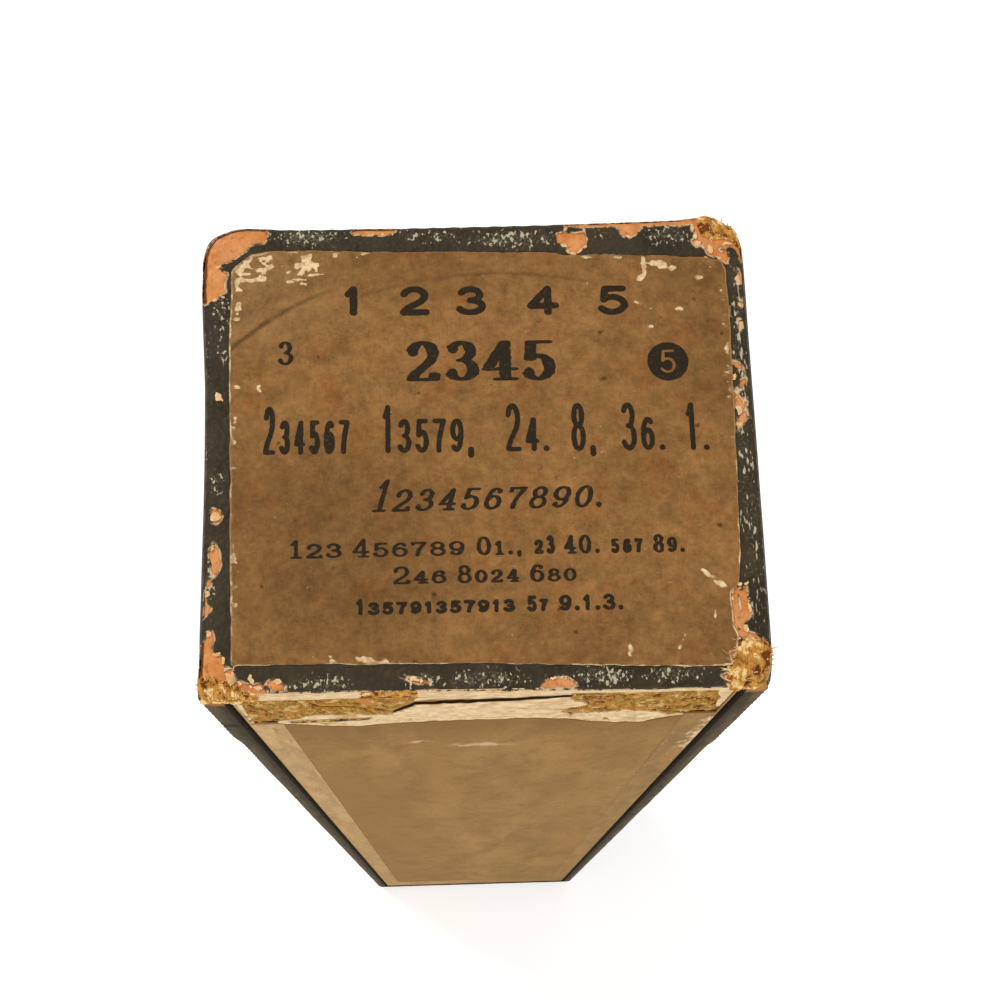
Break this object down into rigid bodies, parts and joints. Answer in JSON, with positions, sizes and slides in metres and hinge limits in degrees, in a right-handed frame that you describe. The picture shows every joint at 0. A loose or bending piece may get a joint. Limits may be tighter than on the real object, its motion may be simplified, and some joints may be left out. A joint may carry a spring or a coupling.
{
  "type": "boxed music roll",
  "caption": "Pin-end paper music roll for a player piano, in a telescoping board box with a numbered end label.",
  "frame": {"origin": "middle of the box's footprint on the surface that the far end stands on", "axes": "+Z along the box towards the label, +Y towards the lid's top panel and the top of the label, +X to the right of the label"},
  "size_m": [0.057, 0.051, 0.33],
  "materials": {
    "strawboard": "rough fibrous strawboard",
    "tan_paper": "matte aged tan paper",
    "cream_paper": "matte cream paper",
    "lining_paper": "matte off-white paper",
    "stay_paper": "gummed orange-brown paper",
    "leader_paper": "smooth aged manila paper",
    "tab_cloth": "brown book cloth",
    "ring_brass": "dull brass",
    "core_wood": "bare turned wood",
    "flange_wood": "stained and varnished wood",
    "pin_steel": "turned steel",
    "plate_steel": "stamped steel",
    "brad_brass": "dull brass",
    "roll_paper": "smooth aged roll paper",
    "tape_paper": "gummed tape",
    "black_paper": "pebbled black cover paper",
    "label_paper": "matte aged kraft paper"
  },
  "bodies": {
    "tray": {"tray_board": "strawboard", "tray_side_wrap": "tan_paper", "tray_base_paper": "cream_paper", "tray_bottom_paper": "tan_paper", "tray_lining": "lining_paper", "tray_corner_stays": "stay_paper"},
    "leader": {"leader_sheet": "leader_paper", "leader_tab": "tab_cloth"},
    "ring": {"tab_ring": "ring_brass"},
    "spool": {"spool_core": "core_wood", "drive_flange": "flange_wood", "idle_flange": "flange_wood", "drive_pin": "pin_steel", "idle_pin": "pin_steel", "drive_pin_plate": "plate_steel", "idle_pin_plate": "plate_steel", "drive_end_brads": "brad_brass", "idle_end_brads": "brad_brass", "wound_paper": "roll_paper", "anchor_tape": "tape_paper"},
    "lid": {"lid_board": "strawboard", "lid_wrap": "black_paper", "label_end_paper": "black_paper", "far_end_paper": "black_paper", "end_label": "label_paper", "lid_lining": "lining_paper", "lid_corner_stays": "stay_paper"}
  },
  "joints": [
    {"name": "roll_lift", "type": "slide", "parent": "tray", "child": "leader", "axis": [0, 1, 0], "range_m": [0, 0.055]},
    {"name": "lid_lift", "type": "slide", "parent": "leader", "child": "lid", "axis": [0, 1, 0], "range_m": [0, 0.06]},
    {"name": "spool_turn", "type": "hinge", "parent": "leader", "child": "spool", "pos_m": [0, 0, 0], "axis": [0, 0, 1], "continuous": true},
    {"name": "ring_flip", "type": "hinge", "parent": "leader", "child": "ring", "pos_m": [0.01308, 0.01505, 0.16482], "axis": [0, 0, 1], "range_deg": [0, 85]}
  ]
}
